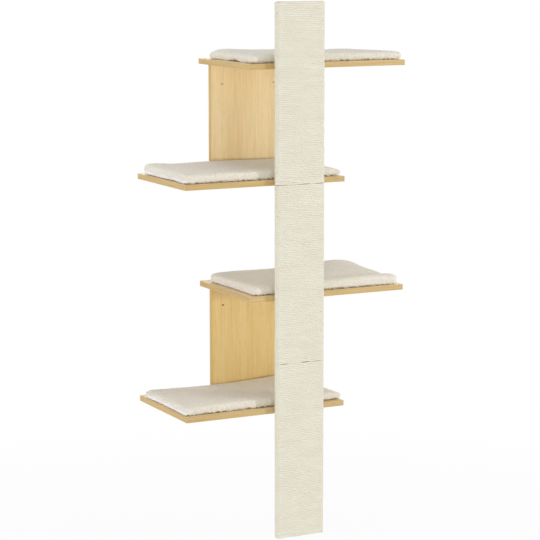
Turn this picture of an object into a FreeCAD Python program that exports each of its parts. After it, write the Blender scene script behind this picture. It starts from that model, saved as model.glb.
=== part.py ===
import FreeCAD, Part
import math
import os
import Sketcher

from FreeCAD import Placement, Rotation, Vector

# A wall mounted cat tree: two bays of two shelves each, joined by upright wall panels, and a tall
# scratching post of three rope-wound boards that all four shelf fronts are fixed to.
# Millimetres. +Z is up, +Y goes into the wall, and +X is to the right as seen from the room.
# The origin is the middle of the four wall holes, on the wall's face.

doc = FreeCAD.newDocument("cat_tree")

driving = {
    # shelves and wall panels, cut from one laminated board
    "shelf_length": 480,
    "shelf_depth": 315,
    "board_thickness": 15,
    "edging_thickness": 0.8,
    "shelf_offset": 94,
    "panel_width": 232,
    "panel_height": 298,
    "middle_gap": 300,
    # four holes for the wall screws
    "wall_hole_spacing": 162,
    "wall_hole_radius": 3,
    "wall_hole_drop": 58,
    # scratching post
    "post_below": 350,
    "section_length": 490,
    "post_board_width": 136,
    "post_board_thickness": 15,
    "post_board_corner": 3,
    "rope_diameter": 4.8,
    "rope_pitch": 5.4,
    "rope_turn_count": 2,
    "rope_seat": 0.05,
    "rope_end_run": 2,
    "rope_start_run": 12,
    "notch_clearance": 0.6,
    # cushions and the hook and loop patches that hold them
    "cushion_side_gap": 14,
    "cushion_front_gap": 12,
    "cushion_panel_gap": 5,
    "cushion_height": 22,
    "cushion_corner": 26,
    "cushion_draw_in": 4,
    "cushion_crown": 3,
    "patch_length": 50,
    "patch_width": 20,
    "patch_side_inset": 60,
    "patch_end_inset": 45,
    "hook_thickness": 1.2,
    "loop_thickness": 1.2,
    # angle brackets between the shelves and the post
    "bracket_leg": 40,
    "bracket_width": 22,
    "bracket_gauge": 1.5,
    "bracket_bend": 2,
    "bracket_corner": 6,
    "bracket_spacing": 80,
    "bracket_hole_near": 15,
    "bracket_hole_far": 31,
    "bracket_hole_clearance": 0.25,
    # wood screws in the brackets
    "screw_radius": 2,
    "screw_head_radius": 3.8,
    "screw_head_height": 2.2,
    "shelf_screw_length": 12,
    "post_screw_length": 18,
    # long screws and dowels between shelves and wall panels
    "panel_screw_radius": 3.5,
    "panel_screw_length": 50,
    "panel_screw_head_radius": 5,
    "panel_screw_head_height": 4,
    "panel_screw_spacing": 176,
    "dowel_radius": 4,
    "dowel_length": 30,
    "dowel_shelf_depth": 10,
    "dowel_spacing": 100,
    "hole_end_clearance": 1,
    # dowels between the post's boards
    "post_dowel_radius": 4,
    "post_dowel_length": 60,
    "post_dowel_spacing": 44,
}

# heights and build-ups worked out from the driving sizes, all in the part's own frame
worked = {
    "hole_row_height": "=(sizes.panel_height + sizes.middle_gap) / 2 + sizes.board_thickness",
    "top_level": "=hole_row_height + sizes.wall_hole_drop",
    "upper_level": "=top_level - sizes.panel_height - sizes.board_thickness",
    "lower_level": "=upper_level - sizes.middle_gap - sizes.board_thickness",
    "bottom_level": "=lower_level - sizes.panel_height - sizes.board_thickness",
    "post_foot": "=bottom_level - sizes.post_below",
    "rope_build": "=sizes.rope_diameter + sizes.rope_seat",
    "post_thickness": "=sizes.post_board_thickness + 2 * rope_build",
    "post_half_width": "=sizes.post_board_width / 2 + rope_build",
    "turns_height": "=sizes.rope_turn_count * sizes.rope_pitch",
    "cushion_length": "=sizes.shelf_length - 2 * sizes.cushion_side_gap",
    "cushion_front": "=sizes.cushion_front_gap - sizes.shelf_depth",
    "cushion_back": "=-sizes.board_thickness - sizes.cushion_panel_gap",
    "cushion_depth": "=cushion_back - cushion_front",
    "cushion_middle": "=(cushion_front + cushion_back) / 2",
}


def fill_sheet(name, cells):
    sheet = doc.addObject("Spreadsheet::Sheet", name)
    for row, (alias, content) in enumerate(cells.items(), start=1):
        sheet.set(f"A{row}", alias)
        sheet.set(f"B{row}", str(content))
        sheet.setAlias(f"B{row}", alias)
    doc.recompute()
    return sheet


sizes = fill_sheet("sizes", driving)
places = fill_sheet("places", worked)

# places closer than this are taken as the same
hair = 0.01

pockets = []
drilled_pieces = []
sub_parts = []


# ---- small helpers for bound features ----

def value_of(expression):
    return float(sizes.evalExpression(expression))


def new_body(label):
    body = doc.addObject("PartDesign::Body", label)
    body.Label = label
    return body


def keep(feature, label):
    feature.Label = label
    sub_parts.append(feature)
    return feature


def place(feature, x="0", y="0", z="0"):
    for axis, expression in (("x", x), ("y", y), ("z", z)):
        if expression != "0":
            feature.setExpression(f"Placement.Base.{axis}", expression)


def new_sketch(body, plane_role, name, lift=None):
    plane = [item for item in body.Origin.OriginFeatures if item.Role == plane_role][0]
    sketch = body.newObject("Sketcher::SketchObject", name)
    sketch.AttachmentSupport = [(plane, "")]
    sketch.MapMode = "FlatFace"
    if lift:
        sketch.setExpression("AttachmentOffset.Base.z", lift)
    return sketch


def bind_point(sketch, geometry, point, x, y):
    # a coordinate of "0" is a point on the sketch's axis, any other is a bound distance
    for kind, expression, axis in (("DistanceX", x, -2), ("DistanceY", y, -1)):
        if expression == "0":
            sketch.addConstraint(Sketcher.Constraint("PointOnObject", geometry, point, axis))
            continue
        distance = value_of(expression)
        number = sketch.addConstraint(Sketcher.Constraint(kind, -1, 1, geometry, point, distance))
        sketch.setExpression(f"Constraints[{number}]", expression)


def draw_rectangle(sketch, left, right, low, high):
    x0, x1, y0, y1 = (value_of(side) for side in (left, right, low, high))
    corners = [Vector(x0, y0, 0), Vector(x1, y0, 0), Vector(x1, y1, 0), Vector(x0, y1, 0)]
    first = sketch.GeometryCount
    for number in range(4):
        sketch.addGeometry(Part.LineSegment(corners[number], corners[(number + 1) % 4]), False)
    for number in range(4):
        following = first + (number + 1) % 4
        sketch.addConstraint(Sketcher.Constraint("Coincident", first + number, 2, following, 1))
        direction = "Horizontal" if number % 2 == 0 else "Vertical"
        sketch.addConstraint(Sketcher.Constraint(direction, first + number))
    bind_point(sketch, first, 1, left, low)
    bind_point(sketch, first + 2, 1, right, high)


def draw_circle(sketch, x, y, radius):
    centre = Vector(value_of(x), value_of(y), 0)
    number = sketch.addGeometry(Part.Circle(centre, Vector(0, 0, 1), value_of(radius)), False)
    bind_point(sketch, number, 3, x, y)
    size = sketch.addConstraint(Sketcher.Constraint("Radius", number, value_of(radius)))
    sketch.setExpression(f"Constraints[{size}]", radius)


def pad(body, sketch, length, reverse=False):
    feature = body.newObject("PartDesign::Pad", "Pad")
    feature.Profile = sketch
    feature.Reversed = reverse
    feature.setExpression("Length", length)
    sketch.Visibility = False
    doc.recompute()
    return feature


def cut(body, sketch, depth=None, reverse=False):
    # with no depth the pocket goes right through
    feature = body.newObject("PartDesign::Pocket", "Pocket")
    feature.Profile = sketch
    feature.Reversed = reverse
    if depth:
        feature.setExpression("Length", depth)
    else:
        feature.Type = "ThroughAll"
    sketch.Visibility = False
    doc.recompute()
    pockets.append(feature)
    return feature


def edges_where(shape, test):
    return [f"Edge{number}" for number, edge in enumerate(shape.Edges, start=1) if test(edge)]


def dress_edges(body, kind, prop, size, test):
    base = body.Tip
    feature = body.newObject(kind, "EdgeDressing")
    feature.Base = (base, edges_where(base.Shape, test))
    feature.setExpression(prop, size)
    doc.recompute()
    return feature


def round_edges(body, radius, test):
    return dress_edges(body, "PartDesign::Fillet", "Radius", radius, test)


def bevel_edges(body, size, test):
    return dress_edges(body, "PartDesign::Chamfer", "Size", size, test)


def runs_along(edge, axis):
    span = edge.BoundBox
    lengths = {"x": span.XLength, "y": span.YLength, "z": span.ZLength}
    others = [length for name, length in lengths.items() if name != axis]
    return lengths[axis] > hair and max(others) < hair


def group_of(label, members):
    group = doc.addObject("Part::Compound", label)
    group.Links = members
    return group


def copies(label, pattern, spots):
    # one group of linked copies; a spot is (rotation, x, y, z) with the three as expressions
    links = []
    for number, (rotation, x, y, z) in enumerate(spots, start=1):
        link = doc.addObject("App::Link", f"{label}_{number}")
        link.LinkedObject = pattern
        link.LinkTransform = True
        link.Placement = Placement(Vector(0, 0, 0), rotation)
        place(link, x, y, z)
        links.append(link)
    return group_of(label, links)


def primitive(kind, name, **bound):
    feature = doc.addObject(kind, name)
    for prop, expression in bound.items():
        feature.setExpression(prop, expression)
    return feature


def rod(name, radius, low, high):
    # an upright rod with six flat sides, from the height low to the height high
    feature = primitive("Part::Prism", name, Circumradius=radius, Height=f"({high}) - ({low})")
    feature.Polygon = 6
    place(feature, z=low)
    return feature


upright = Rotation()
upside_down = Rotation(Vector(1, 0, 0), 180)
head_to_wall = Rotation(Vector(1, 0, 0), -90)

# each shelf: which side of the post its middle lies, its level, and whether its bay's
# wall panel hangs below it or stands on it
shelf_rows = {
    "top": ("+", "places.top_level", "below"),
    "upper": ("-", "places.upper_level", "above"),
    "lower": ("+", "places.lower_level", "below"),
    "bottom": ("-", "places.bottom_level", "above"),
}

half_spots = ("-", "+")


# ---- screws, dowels and the holes they sit in ----
# Small fasteners have six flat sides. Each pattern stands on the origin, and its holes are made
# by a rod of the same section, so that a fastener fits its holes wherever it is moved.

def new_screw(name, radius, length, head_radius, head_low, head_high):
    # the shank points down from the origin
    head = rod(f"{name}_head", head_radius, head_low, head_high)
    shank = rod(f"{name}_shank", radius, f"-{length}", head_low)
    screw = doc.addObject("Part::Fuse", name)
    screw.Base = head
    screw.Tool = shank
    return screw


bracket_screw_head = ("sizes.screw_head_radius", "0", "sizes.screw_head_height")
shelf_screw = new_screw("shelf_screw", "sizes.screw_radius", "sizes.shelf_screw_length",
                        *bracket_screw_head)
post_screw = new_screw("post_screw", "sizes.screw_radius", "sizes.post_screw_length",
                       *bracket_screw_head)
panel_screw = new_screw("panel_screw", "sizes.panel_screw_radius", "sizes.panel_screw_length",
                        "sizes.panel_screw_head_radius", "-sizes.panel_screw_head_height", "0")

dowel_reach = "sizes.dowel_length / 2"
dowel = rod("dowel", "sizes.dowel_radius", f"-{dowel_reach}", dowel_reach)
post_dowel_reach = "sizes.post_dowel_length / 2"
post_dowel = rod("post_dowel", "sizes.post_dowel_radius",
                 f"-{post_dowel_reach}", post_dowel_reach)

# pilot holes end on the screws' flat ends; dowel holes are a little deeper than the dowels
shelf_pilot = rod("shelf_pilot", "sizes.screw_radius", "-sizes.shelf_screw_length", "0")
post_pilot = rod("post_pilot", "sizes.screw_radius", "-sizes.post_screw_length", "0")
dowel_hole = rod("dowel_hole", "sizes.dowel_radius",
                 f"-{dowel_reach} - sizes.hole_end_clearance",
                 f"{dowel_reach} + sizes.hole_end_clearance")
post_dowel_hole = rod("post_dowel_hole", "sizes.post_dowel_radius",
                      f"-{post_dowel_reach} - sizes.hole_end_clearance",
                      f"{post_dowel_reach} + sizes.hole_end_clearance")

shelf_screw_spots = []
post_screw_spots = []
bracket_spots = []
panel_screw_spots = []
dowel_spots = []
for side, level, panel_side in shelf_rows.values():
    under_leg = f"{level} - sizes.bracket_gauge"
    behind_leg = "sizes.bracket_gauge - sizes.shelf_depth"
    shelf_top = f"{level} + sizes.board_thickness"
    panel_middle = "-sizes.board_thickness / 2"
    peg_shift = "(sizes.dowel_length / 2 - sizes.dowel_shelf_depth)"
    for half in half_spots:
        bracket_x = f"{half}sizes.bracket_spacing / 2"
        bracket_spots.append((upright, bracket_x, "-sizes.shelf_depth", level))
        for reach in ("near", "far"):
            hole = f"sizes.bracket_hole_{reach}"
            shelf_screw_spots.append(
                (upside_down, bracket_x, f"{hole} - sizes.shelf_depth", under_leg))
            post_screw_spots.append((head_to_wall, bracket_x, behind_leg, f"{level} - {hole}"))
        screw_x = f"{half}sizes.panel_screw_spacing / 2"
        peg_x = f"{half}sizes.dowel_spacing / 2"
        if panel_side == "below":
            panel_screw_spots.append((upright, screw_x, panel_middle, shelf_top))
            dowel_spots.append((upright, peg_x, panel_middle, f"{level} - {peg_shift}"))
        else:
            panel_screw_spots.append((upside_down, screw_x, panel_middle, level))
            dowel_spots.append((upright, peg_x, panel_middle, f"{shelf_top} + {peg_shift}"))

post_dowel_spots = []
for joint in (1, 2):
    for half in half_spots:
        post_dowel_spots.append((
            upright,
            f"{half}sizes.post_dowel_spacing / 2",
            "-sizes.shelf_depth - places.post_thickness / 2",
            f"places.post_foot + {joint} * sizes.section_length",
        ))

for label, pattern, spots in (
    ("bracket_shelf_screws", shelf_screw, shelf_screw_spots),
    ("bracket_post_screws", post_screw, post_screw_spots),
    ("panel_screws", panel_screw, panel_screw_spots),
    ("panel_dowels", dowel, dowel_spots),
    ("post_dowels", post_dowel, post_dowel_spots),
):
    keep(copies(label, pattern, spots), label)

all_holes = group_of("all_holes", [
    copies("shelf_pilots", shelf_pilot, shelf_screw_spots),
    copies("post_pilots", post_pilot, post_screw_spots),
    copies("panel_screw_holes", panel_screw, panel_screw_spots),
    copies("dowel_holes", dowel_hole, dowel_spots),
    copies("post_dowel_holes", post_dowel_hole, post_dowel_spots),
])


def keep_drilled(body, label):
    drilled = doc.addObject("Part::Cut", f"{label}_drilled")
    drilled.Base = body
    drilled.Tool = all_holes
    drilled_pieces.append(drilled)
    return keep(drilled, label)


# ---- shelves ----

def draw_shelf(sketch, middle, inset):
    half_length = "sizes.shelf_length / 2"
    draw_rectangle(
        sketch,
        f"{middle} - {half_length} + {inset}",
        f"{middle} + {half_length} - {inset}",
        f"{inset} - sizes.shelf_depth",
        "0" if inset == "0" else f"-{inset}",
    )


def add_shelf(name, side, level):
    middle = f"{side}sizes.shelf_offset"
    body = new_body(f"{name}_shelf_board")
    outline = new_sketch(body, "XY_Plane", "outline")
    draw_shelf(outline, middle, "sizes.edging_thickness")
    pad(body, outline, "sizes.board_thickness")
    place(body, z=level)
    keep_drilled(body, f"{name}_shelf")

    # one strip of edging runs round all four edges
    band = new_body(f"{name}_shelf_edging")
    ring = new_sketch(band, "XY_Plane", "ring")
    draw_shelf(ring, middle, "0")
    draw_shelf(ring, middle, "sizes.edging_thickness")
    pad(band, ring, "sizes.board_thickness")
    place(band, z=level)
    keep(band, f"{name}_shelf_edging")


for name, (side, level, panel_side) in shelf_rows.items():
    add_shelf(name, side, level)


# ---- wall panels ----

def add_wall_panel(name, level_below):
    foot = f"{level_below} + sizes.board_thickness"
    body = new_body(f"{name}_panel_board")
    outline = new_sketch(body, "XY_Plane", "outline")
    half_core = "sizes.panel_width / 2 - sizes.edging_thickness"
    draw_rectangle(outline, f"-({half_core})", half_core, "-sizes.board_thickness", "0")
    pad(body, outline, "sizes.panel_height")

    wall_holes = new_sketch(body, "XZ_Plane", "wall_holes")
    for half in half_spots:
        draw_circle(
            wall_holes,
            f"{half}sizes.wall_hole_spacing / 2",
            "sizes.panel_height - sizes.wall_hole_drop",
            "sizes.wall_hole_radius",
        )
    cut(body, wall_holes, reverse=True)
    place(body, z=foot)
    keep_drilled(body, f"{name}_wall_panel")

    strips = []
    for half in half_spots:
        strip = primitive("Part::Box", f"{name}_panel_strip", Length="sizes.edging_thickness",
                          Width="sizes.board_thickness", Height="sizes.panel_height")
        outer = f"{half}sizes.panel_width / 2"
        left = outer if half == "-" else f"{outer} - sizes.edging_thickness"
        place(strip, left, "-sizes.board_thickness", foot)
        strips.append(strip)
    keep(group_of(f"{name}_panel_edging", strips), f"{name}_panel_edging")


add_wall_panel("upper", "places.upper_level")
add_wall_panel("lower", "places.bottom_level")


# ---- scratching post ----
# Three equal boards stand on each other, each with its own rope. Most of a winding is a plain
# cover as thick as the rope. Its first turns, at the board's lower end, are real ones.

section_rows = {"top": 2, "middle": 1, "bottom": 0}  # how many sections lie below each


def add_post_board(name, foot):
    body = new_body(f"{name}_board")
    outline = new_sketch(body, "XY_Plane", "outline")
    half_width = "sizes.post_board_width / 2"
    front = "-places.rope_build - sizes.post_board_thickness"
    draw_rectangle(outline, f"-{half_width}", half_width, front, "-places.rope_build")
    pad(body, outline, "sizes.section_length")
    round_edges(body, "sizes.post_board_corner", lambda edge: runs_along(edge, "z"))
    place(body, y="-sizes.shelf_depth", z=foot)
    keep_drilled(body, f"{name}_post_board")


def straight(start, end):
    return Part.LineSegment(Vector(*start), Vector(*end)).toShape()


class RopeLine:
    # The rope's middle line: a rounded rectangle round the board, level on the front and the
    # sides, that climbs one pitch along each back run by two equal arcs. It starts on a short
    # straight run on the back, and its last turn ends straight upwards.

    def __init__(self):
        self.radius = value_of("sizes.rope_diameter") / 2
        self.pitch = value_of("sizes.rope_pitch")
        self.turns = int(value_of("sizes.rope_turn_count"))
        self.bend = value_of("sizes.post_board_corner + sizes.rope_seat") + self.radius
        self.side = value_of("places.post_half_width") - self.radius
        self.back = -self.radius
        self.front = self.radius - value_of("places.post_thickness")
        self.corner_x = self.side - self.bend
        self.start_x = value_of("sizes.rope_start_run") - self.corner_x
        self.end_x = self.corner_x - value_of("sizes.rope_end_run") - self.bend
        self.end_height = self.radius + (self.turns - 1) * self.pitch
        self.end_top = self.end_height + self.bend + 2 * self.radius

    def corner(self, side, at_back, height):
        # a level quarter turn about one corner of the board, from its back or side end
        middle_y = self.back - self.bend if at_back else self.front + self.bend
        slant = self.bend * math.sqrt(0.5)
        outwards = slant if at_back else -slant
        on_face = Vector(side * self.corner_x, self.back if at_back else self.front, height)
        on_side = Vector(side * self.side, middle_y, height)
        bulge = Vector(side * (self.corner_x + slant), middle_y + outwards, height)
        face_first = (side < 0) == at_back
        start, end = (on_face, on_side) if face_first else (on_side, on_face)
        return Part.Arc(start, bulge, end).toShape()

    def climb(self, height):
        # from the right end of the back run to its left end, one pitch higher
        half_rise = self.pitch / 2
        radius = (self.corner_x ** 2 + half_rise ** 2) / (2 * half_rise)
        half_turn = math.asin(self.corner_x / radius) / 2
        bulge_x = self.corner_x - radius * math.sin(half_turn)
        bulge_rise = radius * (1 - math.cos(half_turn))
        start = Vector(self.corner_x, self.back, height)
        middle = Vector(0, self.back, height + half_rise)
        end = Vector(-self.corner_x, self.back, height + self.pitch)
        low = Vector(bulge_x, self.back, height + bulge_rise)
        high = Vector(-bulge_x, self.back, height + self.pitch - bulge_rise)
        return [Part.Arc(start, low, middle).toShape(), Part.Arc(middle, high, end).toShape()]

    def turn(self, height):
        back_end = self.back - self.bend
        front_end = self.front + self.bend
        return [
            self.corner(-1, True, height),
            straight((-self.side, back_end, height), (-self.side, front_end, height)),
            self.corner(-1, False, height),
            straight((-self.corner_x, self.front, height), (self.corner_x, self.front, height)),
            self.corner(1, False, height),
            straight((self.side, front_end, height), (self.side, back_end, height)),
            self.corner(1, True, height),
        ]

    def finish(self):
        level = self.end_height
        bend_x = self.end_x + self.bend
        slant = self.bend * math.sqrt(0.5)
        bulge = Vector(bend_x - slant, self.back, level + self.bend - slant)
        upturned = Vector(self.end_x, self.back, level + self.bend)
        return [
            straight((self.corner_x, self.back, level), (bend_x, self.back, level)),
            Part.Arc(Vector(bend_x, self.back, level), bulge, upturned).toShape(),
            straight(upturned, (self.end_x, self.back, self.end_top)),
        ]

    def edges(self):
        first = self.radius
        line = [straight((self.start_x, self.back, first), (-self.corner_x, self.back, first))]
        for number in range(self.turns):
            height = first + number * self.pitch
            line.extend(self.turn(height))
            if number < self.turns - 1:
                line.extend(self.climb(height))
        line.extend(self.finish())
        return line


def least_gap(edges, diameter):
    # the least gap between stretches of the rope that lie over ten diameters apart along it
    points = []
    travelled = []
    distance = 0.0
    for edge in edges:
        for point in edge.discretize(Distance=1.5)[:-1]:
            if points:
                distance += point.distanceToPoint(points[-1])
            points.append(point)
            travelled.append(distance)
    least = math.inf
    for number, point in enumerate(points):
        for other in range(number + 1, len(points)):
            if travelled[other] - travelled[number] > 10 * diameter:
                least = min(least, point.distanceToPoint(points[other]))
    return least - diameter


rope_line = RopeLine()
rope_sides = 4


def make_rope_turns():
    edges = rope_line.edges()
    path = Part.Wire(edges)
    start = edges[0].valueAt(edges[0].FirstParameter)
    corners = []
    for number in range(rope_sides + 1):
        angle = 2 * math.pi * number / rope_sides
        corners.append(start + Vector(0, math.cos(angle), math.sin(angle)) * rope_line.radius)
    section = Part.makePolygon(corners)
    tube = path.makePipeShell([section], True, False)
    share = tube.Volume / (Part.Face(section).Area * path.Length)
    gap = least_gap(edges, 2 * rope_line.radius)
    print(f"rope turns: {path.Length / 1000:.3f} m in {rope_line.turns} turns, least gap "
          f"{gap:.2f} mm, volume over section times length {share:.4f}")
    return tube


def add_rope_cover(name, foot):
    body = new_body(f"{name}_cover")
    ring = new_sketch(body, "XY_Plane", "ring", "places.turns_height")
    outer_half = "places.post_half_width"
    inner_half = "sizes.post_board_width / 2"
    draw_rectangle(ring, f"-{outer_half}", outer_half, "-places.post_thickness", "0")
    front = "-places.rope_build - sizes.post_board_thickness"
    draw_rectangle(ring, f"-{inner_half}", inner_half, front, "-places.rope_build")
    pad(body, ring, "sizes.section_length - places.turns_height")

    def upright_at(half_width):
        x = value_of(half_width)
        return lambda edge: runs_along(edge, "z") and abs(abs(edge.CenterOfMass.x) - x) < hair

    round_edges(body, "sizes.post_board_corner + places.rope_build", upright_at(outer_half))
    round_edges(body, "sizes.post_board_corner", upright_at(inner_half))

    # the last real turn's end goes up into this notch in the back
    notch = new_sketch(body, "XZ_Plane", "rope_end_notch")
    side_room = rope_line.radius + value_of("sizes.notch_clearance")
    notch_left = f"{rope_line.end_x - side_room}"
    notch_right = f"{rope_line.end_x + rope_line.bend + side_room}"
    draw_rectangle(notch, notch_left, notch_right, "places.turns_height", f"{rope_line.end_top}")
    cut(body, notch, "places.rope_build", reverse=True)
    place(body, y="-sizes.shelf_depth", z=foot)
    keep_drilled(body, f"{name}_rope_cover")


rope_turns_shape = make_rope_turns()
for name, below in section_rows.items():
    foot = f"places.post_foot + {below} * sizes.section_length"
    add_post_board(name, foot)
    add_rope_cover(name, foot)
    turns = doc.addObject("Part::Feature", f"{name}_turns")
    turns.Shape = rope_turns_shape
    place(turns, y="-sizes.shelf_depth", z=foot)
    keep(turns, f"{name}_rope_turns")


# ---- angle brackets ----
# The corner of the pattern is its origin: one leg lies under the shelf, the other hangs
# against the back of the post.

def new_bracket():
    body = new_body("bracket_angle")
    half_width = "sizes.bracket_width / 2"
    shelf_leg = new_sketch(body, "XY_Plane", "shelf_leg")
    draw_rectangle(shelf_leg, f"-{half_width}", half_width, "0", "sizes.bracket_leg")
    pad(body, shelf_leg, "sizes.bracket_gauge", reverse=True)
    post_leg = new_sketch(body, "XZ_Plane", "post_leg")
    draw_rectangle(post_leg, f"-{half_width}", half_width, "-sizes.bracket_leg", "0")
    pad(body, post_leg, "sizes.bracket_gauge", reverse=True)

    gauge = value_of("sizes.bracket_gauge")
    leg = value_of("sizes.bracket_leg")

    def lies_at(edge, y, z):
        middle = edge.CenterOfMass
        return runs_along(edge, "x") and abs(middle.y - y) < hair and abs(middle.z - z) < hair

    def at_leg_end(edge):
        middle = edge.CenterOfMass
        on_shelf_leg = runs_along(edge, "z") and abs(middle.y - leg) < hair
        on_post_leg = runs_along(edge, "y") and abs(middle.z + leg) < hair
        return on_shelf_leg or on_post_leg

    # the bend is one flat on each side, and both flats lie at the same slant
    bend = "sizes.bracket_bend"
    bevel_edges(body, bend, lambda edge: lies_at(edge, gauge, -gauge))
    bevel_edges(body, f"{bend} + (2 - sqrt(2)) * sizes.bracket_gauge",
                lambda edge: lies_at(edge, 0, 0))
    bevel_edges(body, "sizes.bracket_corner", at_leg_end)

    hole = "sizes.screw_radius + sizes.bracket_hole_clearance"
    low = "-2 * sizes.bracket_gauge"
    shelf_leg_hole = rod("shelf_leg_hole", hole, low, "sizes.bracket_gauge")
    post_leg_hole = rod("post_leg_hole", hole, low, "sizes.bracket_gauge")
    rods = []
    for reach in ("near", "far"):
        spot = f"sizes.bracket_hole_{reach}"
        rods.append(copies(f"{reach}_shelf_leg_hole", shelf_leg_hole,
                           [(upright, "0", spot, "0")]))
        rods.append(copies(f"{reach}_post_leg_hole", post_leg_hole,
                           [(head_to_wall, "0", "sizes.bracket_gauge", f"-{spot}")]))
    bracket = doc.addObject("Part::Cut", "bracket")
    bracket.Base = body
    bracket.Tool = group_of("bracket_holes", rods)
    drilled_pieces.append(bracket)
    return bracket


keep(copies("shelf_brackets", new_bracket(), bracket_spots), "shelf_brackets")


# ---- cushions ----
# A closed pad with rounded corners: its sides draw in between the corners, bulge at half
# height and run up over a rounded shoulder, and a long cylinder gives its top a crown. Heights
# are shares of the cushion's own height, the last of them above its top, and insets from its
# widest outline are shares of its corner radius.

cushion_profile = (
    (0.00, 0.23),
    (0.40, 0.00),
    (0.72, 0.15),
    (0.90, 0.50),
    (1.04, 0.92),
)


def bulge_radius(half_chord, rise):
    # of the circle whose arc rises so far between its ends
    return (half_chord ** 2 + rise ** 2) / (2 * rise)


def cushion_outline(inset_share, height):
    # Corner circles touch the large circles that draw the sides in, which lie outside. An
    # inset keeps all their centres: it shrinks the corners and widens the large circles.
    half_x = value_of("places.cushion_length") / 2
    half_y = value_of("places.cushion_depth") / 2
    sag = value_of("sizes.cushion_draw_in")
    corner = value_of("sizes.cushion_corner")
    corner_x = half_x - corner
    corner_y = half_y - corner
    beyond_x = corner_x + bulge_radius(corner_y, sag) - sag
    beyond_y = corner_y + bulge_radius(corner_x, sag) - sag
    inset = inset_share * corner
    radius = corner - inset
    arcs = []
    sides = []
    for side_x, side_y in ((1, -1), (1, 1), (-1, 1), (-1, -1)):
        centre = Vector(side_x * corner_x, side_y * corner_y, height)
        to_x = (Vector(side_x * beyond_x, 0, height) - centre).normalize()
        to_y = (Vector(0, side_y * beyond_y, height) - centre).normalize()
        tip = (to_x + to_y).normalize()
        if side_x * side_y < 0:
            directions = (to_y, tip, to_x)
            sides.append(Vector(side_x * (half_x - sag - inset), 0, height))
        else:
            directions = (to_x, tip, to_y)
            sides.append(Vector(0, side_y * (half_y - sag - inset), height))
        arcs.append([centre + direction * radius for direction in directions])
    edges = []
    for number, arc in enumerate(arcs):
        edges.append(Part.Arc(*arc).toShape())
        following = arcs[(number + 1) % 4][0]
        edges.append(Part.Arc(arc[2], sides[number], following).toShape())
    return Part.Wire(edges)


def make_cushion():
    height = value_of("sizes.cushion_height")
    length = value_of("places.cushion_length")
    outlines = [cushion_outline(inset, share * height) for share, inset in cushion_profile]
    radius = bulge_radius(value_of("places.cushion_depth") / 2, value_of("sizes.cushion_crown"))
    crown = Part.makeCylinder(radius, 2 * length, Vector(-length, 0, height - radius),
                              Vector(1, 0, 0))
    return Part.makeLoft(outlines, True, True).common(crown).Solids[0]


cushion_shape = make_cushion()
patch_area = {"Length": "sizes.patch_length", "Width": "sizes.patch_width"}
hook_patch = primitive("Part::Box", "hook_patch", Height="sizes.hook_thickness", **patch_area)
loop_patch = primitive("Part::Box", "loop_patch", Height="sizes.loop_thickness", **patch_area)


def patch_spots(middle, height):
    spots = []
    for side_x in half_spots:
        for side_y in half_spots:
            reach_x = "(places.cushion_length / 2 - sizes.patch_side_inset)"
            reach_y = "(places.cushion_depth / 2 - sizes.patch_end_inset)"
            x = f"{middle} {side_x} {reach_x} - sizes.patch_length / 2"
            y = f"places.cushion_middle {side_y} {reach_y} - sizes.patch_width / 2"
            spots.append((upright, x, y, height))
    return spots


for name, (side, level, panel_side) in shelf_rows.items():
    middle = f"{side}sizes.shelf_offset"
    shelf_top = f"{level} + sizes.board_thickness"
    hook_top = f"{shelf_top} + sizes.hook_thickness"
    cushion = doc.addObject("Part::Feature", f"{name}_cushion")
    cushion.Shape = cushion_shape
    place(cushion, middle, "places.cushion_middle", f"{hook_top} + sizes.loop_thickness")
    keep(cushion, f"{name}_cushion")
    for label, pattern, height in (
        (f"{name}_hook_patches", hook_patch, shelf_top),
        (f"{name}_loop_patches", loop_patch, hook_top),
    ):
        keep(copies(label, pattern, patch_spots(middle, height)), label)


# ---- checks and files ----

doc.recompute()
for item in doc.Objects:
    if "Invalid" in item.State or "Error" in item.State:
        raise RuntimeError(f"{item.Label} failed: {item.State}")
for pocket in pockets:
    if pocket.Shape.Volume > pocket.BaseFeature.Shape.Volume - 1:
        raise RuntimeError(f"{pocket.Name} cuts nothing")
for piece in drilled_pieces:
    if piece.Shape.Volume > piece.Base.Shape.Volume - 1:
        raise RuntimeError(f"{piece.Label} has no holes")
for item in sub_parts:
    if item.Shape.isNull() or not item.Shape.isValid():
        raise RuntimeError(f"{item.Label} has no valid shape")

os.makedirs("parts", exist_ok=True)
for item in sub_parts:
    item.Shape.exportStep(f"parts/{item.Label}.step")
print(f"{len(sub_parts)} sub-parts written")
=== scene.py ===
import math
import bpy
import numpy as np
from mathutils import Matrix, Vector


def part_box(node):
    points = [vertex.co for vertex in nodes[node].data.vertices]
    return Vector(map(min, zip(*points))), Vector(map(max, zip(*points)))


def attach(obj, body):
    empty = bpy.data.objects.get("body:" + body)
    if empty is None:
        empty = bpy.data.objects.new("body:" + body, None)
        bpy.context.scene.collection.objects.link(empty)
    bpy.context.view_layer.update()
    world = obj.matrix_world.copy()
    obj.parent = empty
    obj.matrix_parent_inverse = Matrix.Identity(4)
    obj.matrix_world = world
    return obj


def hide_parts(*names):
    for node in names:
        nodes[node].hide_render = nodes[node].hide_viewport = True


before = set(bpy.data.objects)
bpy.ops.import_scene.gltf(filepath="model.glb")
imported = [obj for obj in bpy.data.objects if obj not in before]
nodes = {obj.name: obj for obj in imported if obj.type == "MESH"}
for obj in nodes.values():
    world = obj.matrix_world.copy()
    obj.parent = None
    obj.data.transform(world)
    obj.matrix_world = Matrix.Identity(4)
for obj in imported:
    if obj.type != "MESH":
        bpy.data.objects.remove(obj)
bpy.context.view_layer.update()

mm = 0.001


# ---- shader maths: a wrapped socket that reads like a number ----

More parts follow.
